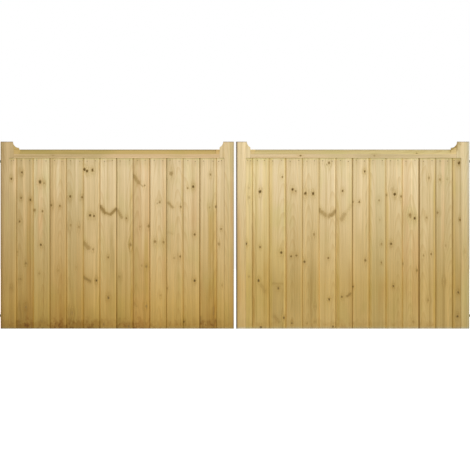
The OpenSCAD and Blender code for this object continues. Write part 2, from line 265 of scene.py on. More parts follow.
FRAME = {
    "left_hanging_stile": plank(
        "dun",
        stripes=[("shade", -5, 12, HEAD, 600), ("soil", -50, 50, HEAD, 800),
                 ("olive", -50, 50, 240, 0)]),
    "left_meeting_stile": plank(
        "pale", stain=0.2,
        stripes=[("sage", 8, 20, HEAD, 0), ("rose", 24, 36, 1000, 0), ("straw", -50, 50, HEAD, 550),
                 ("cream", -50, 50, 320, 0)]),
    "right_meeting_stile": plank(
        "cream", stain=0.1,
        stripes=[("pink", -36, -14, 780, 150), ("pale", -50, 50, HEAD, 750),
                 ("ivory", -50, 50, 420, 0)]),
    "right_hanging_stile": plank(
        "sage", stain=0.1,
        stripes=[("pale", -18, 8, HEAD, 0), ("mist", -50, 50, 330, 0)],
        knots=[(495, 15, 14, 0.25)],
        spikes=[(1198, -36, 1150, -41, 17, 0.7), (1195, -36, 1185, -18, 14, 0.5)]),
    "left_top_rail": plank(
        "pink",
        stripes=[("dun", -60, 60, -60, -800)],
        knots=[(-409, -13, 8, 0.3)]),
    "right_top_rail": plank(
        "pink",
        stripes=[("shade", -40, 0, 640, 20)],
        knots=[(-340, -12, 8, 0.65), (407, 3, 6, 0.6), (135, -13, 9, 0.4)],
        spikes=[(628, 30, 668, 52, 20, 0.8)]),
    "left_middle_rail": plank("straw", knots=[(-310, 15, 9, 0.8), (240, -20, 11, 0.6)]),
    "right_middle_rail": plank("pale", knots=[(-150, -10, 10, 0.7), (420, 20, 8, 0.8)]),
    "left_bottom_rail": plank("straw", knots=[(-480, 10, 9, 0.7), (90, -15, 10, 0.8)]),
    "right_bottom_rail": plank("straw", knots=[(-200, 15, 10, 0.8), (510, -10, 8, 0.6)]),
    "left_braces": plank("pale", knots=[(-60, 8, 8, 0.6)]),
    "right_braces": plank("straw", knots=[(80, -6, 8, 0.7)]),
}


# Node graph helpers

def linear(rgb):
    """Linear colour from sRGB values of 0 to 255."""
    def channel(value):
        value /= 255
        return value / 12.92 if value <= 0.04045 else ((value + 0.055) / 1.055) ** 2.4
    return tuple(channel(value) for value in rgb) + (1.0,)


class Graph:
    """Short names for the nodes that the materials are made of."""

    def __init__(self, tree):
        self.tree = tree

    def node(self, kind, inputs=(), **settings):
        node = self.tree.nodes.new(kind)
        for name, value in settings.items():
            setattr(node, name, value)
        for key, value in dict(inputs).items():
            self.feed(node.inputs[key], value)
        return node

    def feed(self, socket, value):
        if isinstance(value, bpy.types.NodeSocket):
            self.tree.links.new(value, socket)
        else:
            socket.default_value = value

    def math(self, operation, a, b=0.0, c=0.0):
        return self.node("ShaderNodeMath", {0: a, 1: b, 2: c}, operation=operation).outputs[0]

    def times(self, *factors):
        product = factors[0]
        for factor in factors[1:]:
            product = self.math("MULTIPLY", product, factor)
        return product

    def length(self, a, b):
        """Length of a step of a one way and b at right angles to it."""
        return self.math("SQRT", self.math("ADD", self.times(a, a), self.times(b, b)))

    def step(self, value, start, end, low=0.0, high=1.0):
        """Smooth rise from low to high as value goes from start to end."""
        node = self.node("ShaderNodeMapRange", interpolation_type="SMOOTHSTEP")
        for key, item in enumerate((value, start, end, low, high)):
            self.feed(node.inputs[key], item)
        return node.outputs[0]

    def band(self, value, low, high, soft):
        """One between low and high, zero outside them."""
        rise = self.step(value, low - soft, low + soft)
        fall = self.step(value, high + soft, high - soft)
        return self.times(rise, fall)

    def vector(self, x, y, z):
        return self.node("ShaderNodeCombineXYZ", {0: x, 1: y, 2: z}).outputs[0]

    def scaled(self, vector, scale):
        inputs = {"Vector": vector, "Scale": scale}
        return self.node("ShaderNodeVectorMath", inputs, operation="SCALE").outputs[0]

    def dot(self, a, b):
        node = self.node("ShaderNodeVectorMath", {0: a, 1: b}, operation="DOT_PRODUCT")
        return node.outputs["Value"]

    def noise(self, vector, detail=2.0, roughness=0.5):
        inputs = {"Vector": vector, "Scale": 1.0, "Detail": detail, "Roughness": roughness}
        return self.node("ShaderNodeTexNoise", inputs).outputs[0]

    def cloud(self, across, along, seed, per_across, per_along, detail=2.0, roughness=0.5):
        """Noise over a face, with so many lumps a metre each way."""
        place = self.vector(self.times(across, per_across), seed, self.times(along, per_along))
        return self.noise(place, detail, roughness)

    def mix(self, factor, a, b, blend="MIX"):
        node = self.node("ShaderNodeMix", data_type="RGBA", blend_type=blend)
        for key, item in ((0, factor), (6, a), (7, b)):
            self.feed(node.inputs[key], item)
        return node.outputs[2]

    def tint(self, colour, by, factor=1.0):
        """Multiply a colour by three factors, as far as factor says."""
        return self.mix(factor, colour, (*by, 1.0), "MULTIPLY")

    def bump(self, height, strength, distance):
        inputs = {"Height": height, "Strength": strength, "Distance": distance}
        return self.node("ShaderNodeBump", inputs).outputs[0]

    def surface(self, inputs):
        """Finish a material with the shader that has these inputs."""
        shader = self.node("ShaderNodeBsdfPrincipled", inputs)
        self.node("ShaderNodeOutputMaterial", {"Surface": shader.outputs[0]})


def new_material(name):
    """Empty material and the graph that fills it."""
    material = bpy.data.materials.new(name)
    material.use_nodes = True
    material.node_tree.nodes.clear()
    return material, Graph(material.node_tree)


def node_group(name, inputs, outputs):
    """New node group with float inputs and outputs, or colours where the name ends in Colour."""
    tree = bpy.data.node_groups.new(name, "ShaderNodeTree")
    for names, way in ((inputs, "INPUT"), (outputs, "OUTPUT")):
        for item in names:
            kind = "NodeSocketColor" if item.endswith("Colour") else "NodeSocketFloat"
            tree.interface.new_socket(item, in_out=way, socket_type=kind)
    graph = Graph(tree)
    return graph, graph.node("NodeGroupInput").outputs, graph.node("NodeGroupOutput").inputs


# Knots. Their falls say how fast something fades, in squared or plain radii of the knot

BULGE_FALL = 0.09
PUSH_FALL = 0.5
HALO_FALL_ACROSS = 0.26
HALO_FALL_ALONG = 0.08
CORE_FALL_ALONG = 0.6
KNOT_RAGGED = 1.3
SPIKE_HALO_FALL = 1.6
SPIKE_RAGGED = 0.6
SPIKE_CORE = 0.6


def make_knot_group():
    """One round knot: how far it pushes the grain aside, its core and the resin round it."""
    inputs = ("Across", "Along", "Knot Across", "Knot Along", "Radius", "Strength",
              "Shift", "Core", "Halo")
    g, given, result = node_group("knot", inputs, ("Shift", "Core", "Halo"))
    dx = g.math("SUBTRACT", given["Across"], given["Knot Across"])
    dz = g.math("SUBTRACT", given["Along"], given["Knot Along"])
    x = g.math("DIVIDE", dx, given["Radius"])
    z = g.math("DIVIDE", dz, given["Radius"])
    x_squared = g.times(x, x)
    z_squared = g.times(z, z)
    bulge = g.math("EXPONENT", g.times(z_squared, -BULGE_FALL))
    past = g.math("MAXIMUM", g.math("SUBTRACT", g.math("ABSOLUTE", x), bulge), 0.0)
    fade = g.math("EXPONENT", g.times(past, -PUSH_FALL))
    push = g.times(bulge, fade, given["Radius"], g.math("SIGN", dx))
    seed = g.math("MULTIPLY_ADD", given["Knot Along"], 37.0, g.times(given["Knot Across"], 91.0))
    ragged = g.noise(g.vector(g.times(x, 0.9), g.times(z, 0.7), seed), 3.0, 0.6)
    distance = g.math("SQRT", g.math("MULTIPLY_ADD", z_squared, CORE_FALL_ALONG, x_squared))
    core = g.step(g.math("MULTIPLY_ADD", ragged, KNOT_RAGGED, distance), 1.75, 0.95)
    spread = g.times(z_squared, HALO_FALL_ALONG)
    spread = g.math("MULTIPLY_ADD", x_squared, HALO_FALL_ACROSS, spread)
    halo = g.math("EXPONENT", g.times(spread, -1.0))
    g.feed(result["Shift"], g.math("ADD", given["Shift"], push))
    g.feed(result["Core"], g.math("MAXIMUM", given["Core"], g.times(core, given["Strength"])))
    g.feed(result["Halo"], g.math("MAXIMUM", given["Halo"], g.times(halo, given["Strength"])))
    return g.tree


def make_spike_group():
    """A knot sawn along its length, from one point to another."""
    inputs = ("Across", "Along", "Across 0", "Along 0", "Run Across", "Run Along", "Thickness",
              "Strength", "Core", "Halo")
    g, given, result = node_group("spike", inputs, ("Core", "Halo"))
    dx = g.math("SUBTRACT", given["Across"], given["Across 0"])
    dz = g.math("SUBTRACT", given["Along"], given["Along 0"])
    run_x = given["Run Across"]
    run_z = given["Run Along"]
    reach = g.math("ADD", g.times(dx, run_x), g.times(dz, run_z))
    run_squared = g.math("ADD", g.times(run_x, run_x), g.times(run_z, run_z))
    part = g.node("ShaderNodeClamp", {0: g.math("DIVIDE", reach, run_squared)}).outputs[0]
    off_x = g.math("SUBTRACT", dx, g.times(run_x, part))
    off_z = g.math("SUBTRACT", dz, g.times(run_z, part))
    away = g.math("DIVIDE", g.length(off_x, off_z), given["Thickness"])
    place = g.vector(g.times(dx, 90.0), g.times(dz, 90.0), g.times(run_squared, 900.0))
    ragged = g.noise(place, 3.0, 0.6)
    edge = g.math("MULTIPLY_ADD", ragged, SPIKE_RAGGED, away)
    core = g.step(edge, 1.0, 0.45, high=SPIKE_CORE)
    halo = g.math("EXPONENT", g.times(away, away, -SPIKE_HALO_FALL))
    g.feed(result["Core"], g.math("MAXIMUM", given["Core"], g.times(core, given["Strength"])))
    g.feed(result["Halo"], g.math("MAXIMUM", given["Halo"], g.times(halo, given["Strength"])))
    return g.tree


# Growth rings, how the pith lies behind the face, and tints of the grain

RING = 4.6 * MM
PITH_LEAN = 0.045
PITH_SWAY = 30 * MM
PITH_ASIDE = 55 * MM
PITH_NEAR = 18 * MM
PITH_RANGE = 30 * MM
GRAIN_WANDER = 14 * MM
VEIN_DARK = (0.84, 0.80, 0.70)
VEIN_PALE = (1.14, 1.13, 1.14)
LINE_DARK = (0.86, 0.83, 0.74)
LINE_PALE = (1.07, 1.06, 1.05)
PATCH_GREEN = (0.94, 0.97, 0.90)
LATE_WOOD = (0.78, 0.68, 0.50)
FIBRE_DARK = (0.88, 0.86, 0.82)
RESIN = (0.80, 0.74, 0.56)
RESIN_SPECK = (0.74, 0.70, 0.52)
END_GRAIN = (0.66, 0.58, 0.46)

# Colours of a knot (sRGB, 0 to 255)

KNOT_DARK = (96, 74, 28)
KNOT_BROWN = (146, 117, 60)


def make_softwood_group():
    """Growth rings about a leaning pith, with streaks, fibres and knots, over a given colour."""
    inputs = ("Across", "Along", "Depth", "Core", "Halo", "End Grain", "Seed", "Pith Across",
              "Pith Depth", "Base Colour")
    g, given, result = node_group("softwood", inputs, ("Colour", "Height", "Roughness"))
    across = given["Across"]
    along = given["Along"]
    depth = given["Depth"]
    seed = given["Seed"]

    def stretched(per_across, per_along, offset, detail=2.0):
        """Noise drawn out along the grain, through the depth of the piece."""
        x = g.times(across, per_across)
        y = g.math("MULTIPLY_ADD", depth, per_across * 0.5, offset)
        z = g.math("MULTIPLY_ADD", along, per_along, seed)
        return g.noise(g.vector(x, y, z), detail)

    sway = stretched(per_across=4.0, per_along=0.8, offset=1.0, detail=1.0)
    lean = g.math("MULTIPLY_ADD", along, PITH_LEAN, g.times(sway, PITH_SWAY))
    from_pith_x = g.math("SUBTRACT", across, given["Pith Across"])
    from_pith_y = g.math("ADD", g.math("ADD", depth, given["Pith Depth"]), lean)
    rings_out = g.math("DIVIDE", g.length(from_pith_x, from_pith_y), RING)
    ring = g.math("ADD", rings_out, stretched(per_across=30.0, per_along=1.4, offset=2.0))
    year = g.node("ShaderNodeTexWhiteNoise", {"W": g.math("FLOOR", ring)}, noise_dimensions="1D")
    year_strength = g.math("MULTIPLY_ADD", year.outputs["Value"], 0.7, 0.3)
    part = g.math("FRACT", ring)
    late = g.times(g.step(part, 0.35, 0.92), g.step(part, 1.0, 0.94), year_strength)

    vein = stretched(per_across=48.0, per_along=0.55, offset=3.0, detail=3.0)
    line = stretched(per_across=110.0, per_along=1.1, offset=4.0)
    fibre = stretched(per_across=950.0, per_along=11.0, offset=5.0)
    patch = g.cloud(across, along, seed, per_across=9.0, per_along=3.5)
    speck = g.cloud(across, along, seed, per_across=170.0, per_along=130.0)

    colour = g.tint(given["Base Colour"], VEIN_DARK, g.step(vein, 0.50, 0.75, high=0.9))
    colour = g.tint(colour, VEIN_PALE, g.step(vein, 0.48, 0.28))
    colour = g.tint(colour, LINE_DARK, g.step(line, 0.50, 0.72, high=0.8))
    colour = g.tint(colour, LINE_PALE, g.step(line, 0.50, 0.30))
    colour = g.tint(colour, PATCH_GREEN, g.step(patch, 0.50, 0.72))
    colour = g.tint(colour, LATE_WOOD, g.times(late, 0.42))
    colour = g.tint(colour, FIBRE_DARK, g.step(fibre, 0.52, 0.72, high=0.6))
    colour = g.tint(colour, RESIN, g.times(given["Halo"], 0.65))
    colour = g.tint(colour, RESIN_SPECK, g.times(g.step(speck, 0.50, 0.64), given["Halo"]))
    knot = g.mix(g.step(given["Core"], 0.45, 1.0), linear(KNOT_BROWN), linear(KNOT_DARK))
    colour = g.mix(g.step(given["Core"], 0.0, 0.8), colour, knot)
    colour = g.tint(colour, END_GRAIN, given["End Grain"])

    height = g.math("MULTIPLY_ADD", late, 0.35, g.times(fibre, 0.30))
    height = g.math("MULTIPLY_ADD", given["Core"], 0.5, height)
    rough = g.math("MULTIPLY_ADD", line, 0.15, 0.66)
    rough = g.math("MULTIPLY_ADD", late, -0.10, rough)
    rough = g.math("MULTIPLY_ADD", given["Core"], -0.12, rough)
    g.feed(result["Colour"], colour)
    g.feed(result["Height"], height)
    g.feed(result["Roughness"], rough)
    return g.tree


KNOT = make_knot_group()
SPIKE = make_spike_group()
SOFTWOOD = make_softwood_group()


def leaf_colour(g, side, height):
    """Colour of a leaf at a height above its foot."""
    stops = LEAF_COLOURS[side]
    ramp = g.node("ShaderNodeValToRGB", {0: g.math("DIVIDE", height, LEAF_H)})
    elements = ramp.color_ramp.elements
    while len(elements) < len(stops):
        elements.new(0.5)
    for element, (place, rgb) in zip(elements, stops):
        element.position = min(place * MM / LEAF_H, 1.0)
        element.color = linear(rgb)
    return ramp.outputs[0]


def add_marks(g, look, across, along):
    """Nodes of a piece's knots and spikes: how far they push the grain aside, cores and halos."""
    shift, core, halo = 0.0, 0.0, 0.0
    for knot_along, knot_across, radius, strength in look.knots:
        knot = g.node("ShaderNodeGroup", node_tree=KNOT, inputs={
            "Across": across,
            "Along": along,
            "Knot Across": knot_across * MM,
            "Knot Along": knot_along * MM,
            "Radius": radius * MM,
            "Strength": strength,
            "Shift": shift,
            "Core": core,
            "Halo": halo,
        })
        shift, core, halo = knot.outputs
    for along_0, across_0, along_1, across_1, thickness, strength in look.spikes:
        spike = g.node("ShaderNodeGroup", node_tree=SPIKE, inputs={
            "Across": across,
            "Along": along,
            "Across 0": across_0 * MM,
            "Along 0": along_0 * MM,
            "Run Across": (across_1 - across_0) * MM,
            "Run Along": (along_1 - along_0) * MM,
            "Thickness": thickness * MM,
            "Strength": strength,
            "Core": core,
            "Halo": halo,
        })
        core, halo = spike.outputs
    return shift, core, halo


STRIPE_SOFT = 7 * MM
STRIPE_FADE = 90 * MM


def striped(g, look, side, at, grain):
    """Colour of the leaf in a piece's tone, with its stripes."""
    colour = g.tint(leaf_colour(g, side, at.height), TONES[look.tone])
    uneven = g.cloud(grain, at.along, at.seed + 0.5, per_across=25.0, per_along=5.0)
    uneven = g.step(uneven, 0.25, 0.62, low=0.35)
    for tone, left, right, upper, lower in look.stripes:
        mask = g.times(g.band(grain, left * MM, right * MM, STRIPE_SOFT), uneven)
        if upper < HEAD or lower > 0:
            mask = g.times(mask, g.band(at.along, lower * MM, upper * MM, STRIPE_FADE))
        factors = [stripe / main for stripe, main in zip(TONES[tone], TONES[look.tone])]
        colour = g.tint(colour, factors, mask)
    return colour


def timber(name, side, middle, along, across, look, seed, finish=()):
    """Softwood material with its grain along one direction, about a line through middle.

    Each function in finish paints over the colour, from the place on the piece.
    """
    material, g = new_material(name)
    place = g.node("ShaderNodeTexCoord").outputs
    offset = g.node("ShaderNodeVectorMath", {0: place["Object"], 1: middle}, operation="SUBTRACT")
    from_middle = offset.outputs[0]
    at = SimpleNamespace(
        along=g.dot(from_middle, along),
        across=g.dot(from_middle, across),
        depth=g.dot(from_middle, BACKWARD),
        height=g.math("SUBTRACT", g.dot(place["Object"], UP), FOOT_Z),
        normal=place["Normal"],
        seed=seed,
    )

    shift, core, halo = add_marks(g, look, at.across, at.along)
    wander = g.noise(g.vector(seed, g.times(at.along, 1.3), 0.5))
    grain = g.math("SUBTRACT", at.across, shift)
    grain = g.math("MULTIPLY_ADD", wander, GRAIN_WANDER, grain)
    grain = g.math("SUBTRACT", grain, GRAIN_WANDER / 2)
    end_grain = g.step(g.math("ABSOLUTE", g.dot(at.normal, along)), 0.75, 0.95)
    wood = g.node("ShaderNodeGroup", node_tree=SOFTWOOD, inputs={
        "Across": grain,
        "Along": at.along,
        "Depth": at.depth,
        "Core": core,
        "Halo": halo,
        "End Grain": end_grain,
        "Seed": seed,
        "Pith Across": PITH_ASIDE * math.sin(seed * 2.4),
        "Pith Depth": PITH_NEAR + PITH_RANGE * (0.5 + 0.5 * math.sin(seed * 5.1)),
        "Base Colour": striped(g, look, side, at, grain),
    }).outputs
    colour = wood["Colour"]
    for paint in finish:
        colour = paint(g, colour, at)
    g.surface({
        "Base Color": colour,
        "Roughness": wood["Roughness"],
        "Specular IOR Level": 0.25,
        "Normal": g.bump(wood["Height"], strength=0.35, distance=1.2 * MM),
    })
    return material


# Weathering that is painted over the grain: tints, and where each starts and is full

SOIL = (0.74, 0.64, 0.46)
SOIL_CLIMB = 200 * MM
SOIL_START = -30 * MM
SOIL_FULL = -80 * MM
SPLASH = (0.66, 0.52, 0.34)
SPLASH_START = 70 * MM
SPLASH_FULL = 15 * MM
FOOT_GREY = (0.92, 1.10, 1.75)
FOOT_GREY_START = 18 * MM
FOOT_GREY_FULL = 5 * MM


def foot_stain(strength):
    """Splashed soil: brown patches in the last centimetres, and a grey line at the very bottom."""
    def paint(g, colour, at):
        cloud = g.cloud(at.across, at.height, at.seed, 34.0, 24.0, detail=4.0, roughness=0.65)
        reach = g.math("MULTIPLY_ADD", cloud, -SOIL_CLIMB, at.height)
        colour = g.tint(colour, SOIL, g.step(reach, SOIL_START, SOIL_FULL, high=strength))
        blotch = g.cloud(at.across, at.height, at.seed + 7.0, 46.0, 36.0, detail=3.0, roughness=0.6)
        low_down = g.step(at.height, SPLASH_START, SPLASH_FULL, high=strength)
        colour = g.tint(colour, SPLASH, g.times(g.step(blotch, 0.52, 0.62), low_down))
        grey_line = g.step(at.height, FOOT_GREY_START, FOOT_GREY_FULL, high=0.9)
        return g.tint(colour, FOOT_GREY, grey_line)
    return paint


# Painted highlight and shade at a board's right (1) and left (-1) edge: of the strip beside the vee,
# and of the vee itself

ARRIS_HIGHLIGHT_AND_SHADE = {
    # right edge: a painted highlight on the strip beside the vee, painted shade in the vee
    1: ((1.09, 1.09, 1.05), (0.80, 0.78, 0.70)),
    # left edge: no highlight, painted light in the vee that lifts its shade
    -1: ((1.0, 1.0, 1.0), (1.16, 1.16, 1.12)),
}
ARRIS_STRIP = 7 * MM
ARRIS_SOFT = 1.5 * MM
VEE_SOFT = 0.5 * MM

# Pale dust in the lower half of the vees, the painted shade of open joints and the painted light on
# tight ones

VEE_DUST = (1.14, 1.14, 1.12)
DUST_START = 650 * MM
DUST_FULL = 450 * MM
OPEN_JOINT_SHADE = (0.50, 0.40, 0.25)
TIGHT_JOINT_LIGHT = (1.32, 1.30, 1.25)
JOINT_START = VEE + 2 * MM
JOINT_FULL = 1 * MM


def vee_arris(edge, way, opening):
    """Painted highlight and shade at a board's edge by a vee joint, which lies way of it: painted shade
    if open, painted light if tight.
    """
    strip_highlight, vee_shading = ARRIS_HIGHLIGHT_AND_SHADE[way]
    joint_shading = OPEN_JOINT_SHADE if opening > 0 else TIGHT_JOINT_LIGHT

    def paint(g, colour, at):
        inward = g.times(g.math("SUBTRACT", edge, at.across), way)
        # painted highlight on the strip beside the vee
        colour = g.tint(colour, strip_highlight, g.band(inward, VEE, VEE + ARRIS_STRIP, ARRIS_SOFT))
        in_vee = g.step(inward, VEE + VEE_SOFT, VEE - VEE_SOFT)
        # painted shade in a right-hand vee, painted light in a left-hand one
        colour = g.tint(colour, vee_shading, in_vee)
        dust = g.times(in_vee, g.step(at.height, DUST_START, DUST_FULL))
        colour = g.tint(colour, VEE_DUST, dust)
        # painted shade in an open joint, painted light in a tight one
        return g.tint(colour, joint_shading, g.step(inward, JOINT_START, JOINT_FULL, high=abs(opening)))
    return paint


# Painted shade on the boards below the top rail, and a painted olive shadow line just below its lip
HEAD_SHADE = (0.94, 0.94, 0.94)
HEAD_SHADE_START = BOARD_TOP - 70 * MM
HEAD_SHADE_FULL = BOARD_TOP - 10 * MM
HEAD_SHADOW_LINE = (0.97, 1.02, 0.86)
HEAD_SHADOW_LINE_START = BOARD_TOP - 12 * MM
HEAD_SHADOW_LINE_FULL = BOARD_TOP - 6 * MM


def shaded_head(g, colour, at):
    """Painted shade on the boards below the top rail, and a painted olive shadow line just below its
    lip.
    """
    colour = g.tint(colour, HEAD_SHADE, g.step(at.height, HEAD_SHADE_START, HEAD_SHADE_FULL))
    return g.tint(colour, HEAD_SHADOW_LINE, g.step(at.height, HEAD_SHADOW_LINE_START, HEAD_SHADOW_LINE_FULL))


# Darker grey-blue line along the top edges of the horns and of the top rail's bevel
TOP_EDGE_GREY = (0.66, 0.66, 0.84)
TOP_EDGE_GREY_H = 7 * MM
TOP_EDGE_GREY_FULL = 3 * MM


def below_top(g, at, top):
    """One in the last millimetres below a top edge."""
    return g.step(at.height, top - TOP_EDGE_GREY_H, top - TOP_EDGE_GREY_FULL)


def grey_horn_top(g, colour, at):
    """Darker grey line along the top of a horn."""
    return g.tint(colour, TOP_EDGE_GREY, below_top(g, at, LEAF_H))


def edge_shade_and_tint(edge, reach, factors):
    """Painted shade, or another tint, that fades out from one upright edge of a stile."""
    def paint(g, colour, at):
        away = g.math("ABSOLUTE", g.math("SUBTRACT", at.across, edge))
        return g.tint(colour, factors, g.step(away, reach, 0.0))
    return paint


# Painted light along the lower edge of the rail's flat, lifting the shade of the lip line
LIP_LIGHT = (1.12, 1.12, 1.12)
LIP_LIGHT_START = RAIL_LIP + 9 * MM
LIP_LIGHT_FULL = RAIL_LIP + 5 * MM
BEVEL_SOFT = 1 * MM


def rail_bevel(bevel_tint, end_tint, flat_tint):
    """Tints of the top rail: its bevel, with a darker grey upper edge, its ends and its flat, and
    painted light along the flat's lower edge.
    """
    def paint(g, colour, at):
        lean_up = g.dot(at.normal, UP)
        bevel = g.times(g.step(lean_up, 0.1, 0.25), g.step(lean_up, 0.7, 0.5))
        flat = g.step(at.height, BEVEL_FOOT + BEVEL_SOFT, BEVEL_FOOT - BEVEL_SOFT)
        colour = g.tint(colour, bevel_tint, bevel)
        colour = g.tint(colour, TOP_EDGE_GREY, g.times(bevel, below_top(g, at, RAIL_TOP)))
        colour = g.tint(colour, flat_tint, flat)
        # painted light along the lower edge of the flat
        colour = g.tint(colour, LIP_LIGHT, g.step(at.height, LIP_LIGHT_START, LIP_LIGHT_FULL))
        ends = g.math("SUBTRACT", 1.0, g.math("MAXIMUM", bevel, flat))
        return g.tint(colour, end_tint, ends)
    return paint


# Steels (sRGB, 0 to 255)

NAIL_BROWN = (152, 128, 86)
NAIL_DARK = (130, 112, 78)
ZINC_DARK = (128, 132, 134)
ZINC_PALE = (178, 182, 184)


def weathered_nail():
    """Nail steel gone dull brown, with a little rust."""
    material, g = new_material("weathered_nail")
    place = g.node("ShaderNodeTexCoord").outputs["Object"]
    cloud = g.noise(g.scaled(place, 400.0), 3.0)
    colour = g.mix(g.step(cloud, 0.35, 0.65), linear(NAIL_BROWN), linear(NAIL_DARK))
    g.surface({"Base Color": colour, "Metallic": 0.2, "Roughness": 0.75})
    return material


def galvanised():
    """Hot-dip zinc: a mottled grey spangle, duller on its paler, raised patches."""
    material, g = new_material("galvanised_steel")
    place = g.node("ShaderNodeTexCoord").outputs["Object"]
    cells = g.node("ShaderNodeTexVoronoi", {"Vector": place, "Scale": 140.0, "Randomness": 1.0})
    grey = g.node("ShaderNodeSeparateColor", {0: cells.outputs["Color"]}).outputs[0]
    cloud = g.noise(g.scaled(place, 38.0), 4.0)
    blend = g.math("MULTIPLY_ADD", grey, 0.5, g.times(cloud, 0.5))
    rough = g.math("MULTIPLY_ADD", grey, 0.12, 0.32)
    g.surface({
        "Base Color": g.mix(blend, linear(ZINC_DARK), linear(ZINC_PALE)),
        "Metallic": 0.85,
        "Roughness": g.math("MULTIPLY_ADD", cloud, 0.3, rough),
        "Normal": g.bump(cloud, strength=0.15, distance=0.6 * MM),
    })
    return material


# Timber of each leaf

def dress(node, material):
    """Give a CAD node its material."""
    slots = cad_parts[node].data.materials
    slots.clear()
    slots.append(material)


STILE_EASE = 2.0 * MM
RAIL_EASE = 1.5 * MM
STEEL_EASE = 0.8 * MM


def ease_edges(node, width):
    """Round a node's arrises a little, over its shared vertices."""
    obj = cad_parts[node]
    weld = obj.modifiers.new("weld", "WELD")
    weld.merge_threshold = 0.01 * MM
    bevel = obj.modifiers.new("eased edges", "BEVEL")
    bevel.width = width
    bevel.segments = 2
    bevel.limit_method = "ANGLE"
    bevel.angle_limit = math.radians(60)


def middle_of(node, z=None):
    """Point on the front face at the middle of a node's width, and of its height unless z is given."""
    low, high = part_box(node)
    return ((low.x + high.x) / 2, FRONT_Y, (low.z + high.z) / 2 if z is None else z)


def board_middle(side, number):
    """Middle of a board's face, at the foot, and half the face's width without the tongue."""
    low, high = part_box(f"{side}_board_{number:02d}")
    tongue = TONGUE if number < BOARD_COUNT else 0.0
    left = low.x + (tongue if side == "right" else 0.0)
    right = high.x - (tongue if side == "left" else 0.0)
    return ((left + right) / 2, FRONT_Y, FOOT_Z), (right - left) / 2


# Nails and the streaks below them, in mm from the foot and from a board's middle or edge

NAIL_HEIGHT = 1080
NAIL_OFFSET = 27
NAIL_EDGE = 15
NAIL_SCATTER = 4
NAIL_SEEDS = {"left": 0.0, "right": 5.0}
STREAK_L = 26
STREAK_T = 7
STREAK_STRENGTH = 0.2


def nail_places(side, number):
    """Height and place across (mm) of a board's two nails, a little out of line as nailed by hand."""
    turn = number * 2.3 + NAIL_SEEDS[side]
    offset = min(NAIL_OFFSET, board_middle(side, number)[1] / MM - NAIL_EDGE)
    places = []
    for way in (-1, 1):
        height = NAIL_HEIGHT + NAIL_SCATTER * math.sin(turn * 3.1 + way)
        across = way * offset + NAIL_SCATTER * math.sin(turn * 1.7 + way)
        places.append((height, across))
    return places


# Numbers that set the grain of each piece

LEAF_SEEDS = {"left": 2.0, "right": 61.0}
BOARD_SEED_STEP = 3.73
FRAME_SEEDS = {
    "hanging_stile": 60.0,
    "meeting_stile": 78.0,
    "top_rail": 63.0,
    "middle_rail": 69.0,
    "bottom_rail": 85.0,
    "braces": 56.0,
}

# Painted shade along one upright edge of each stile, a bluish tint on the right hanging stile: on its
# right (1) or left (-1), how far it reaches, and its tint

STILE_EDGE_SHADE_AND_TINT = {
    "left_hanging_stile": (-1, 40 * MM, (0.72, 0.67, 0.62)),
    "left_meeting_stile": (1, 20 * MM, (0.76, 0.74, 0.70)),
    "right_meeting_stile": (-1, 16 * MM, (0.13, 0.10, 0.06)),
    "right_hanging_stile": (1, 22 * MM, (0.89, 1.00, 1.35)),
}
RAIL_TINTS = {
    "left": rail_bevel(
        bevel_tint=(0.76, 0.75, 0.48), end_tint=(0.90, 0.85, 0.61), flat_tint=(0.93, 0.92, 0.92)),
    "right": rail_bevel(
        bevel_tint=(0.84, 0.91, 0.74), end_tint=(0.92, 0.94, 0.78), flat_tint=(0.89, 0.92, 0.94)),
}


def dress_boards(side):
    """Timber of a leaf's boards."""
    outward = -1 if side == "left" else 1
    for number, look in enumerate(BOARDS[side], 1):
        node = f"{side}_board_{number:02d}"
        middle, half_w = board_middle(side, number)
        streaks = [(height, across, height - STREAK_L, across, STREAK_T, STREAK_STRENGTH)
                   for height, across in nail_places(side, number)]
        look.spikes = [*look.spikes, *streaks]
        finish = [shaded_head, foot_stain(look.stain)]
        for way, joint in ((outward, number - 1), (-outward, number)):
            if 0 < joint < BOARD_COUNT:
                finish.append(vee_arris(way * half_w, way, JOINTS[side][joint - 1]))
        seed = LEAF_SEEDS[side] + BOARD_SEED_STEP * number
        dress(node, timber(node, side, middle, UP, RIGHTWARD, look, seed, finish))


def dress_stiles(side):
    """Timber of a leaf's two stiles."""
    for stile in ("hanging_stile", "meeting_stile"):
        node = f"{side}_{stile}"
        look = FRAME[node]
        low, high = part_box(node)
        way, reach, factors = STILE_EDGE_SHADE_AND_TINT[node]
        # painted shade along one edge of the stile, a bluish tint on the right hanging stile's edge
        edge = edge_shade_and_tint(way * (high.x - low.x) / 2, reach, factors)
        finish = [foot_stain(look.stain), grey_horn_top, edge]
        seed = LEAF_SEEDS[side] + FRAME_SEEDS[stile]
        middle = middle_of(node, FOOT_Z)
        dress(node, timber(node, side, middle, UP, RIGHTWARD, look, seed, finish))
        ease_edges(node, STILE_EASE)


def dress_rails(side):
    """Timber of a leaf's three rails. The top rail keeps its sharp bevel."""
    for rail in ("top_rail", "middle_rail", "bottom_rail"):
        node = f"{side}_{rail}"
        finish = [RAIL_TINTS[side]] if rail == "top_rail" else []
        seed = LEAF_SEEDS[side] + FRAME_SEEDS[rail]
        dress(node, timber(node, side, middle_of(node), RIGHTWARD, UP, FRAME[node], seed, finish))
        if rail != "top_rail":
            ease_edges(node, RAIL_EASE)


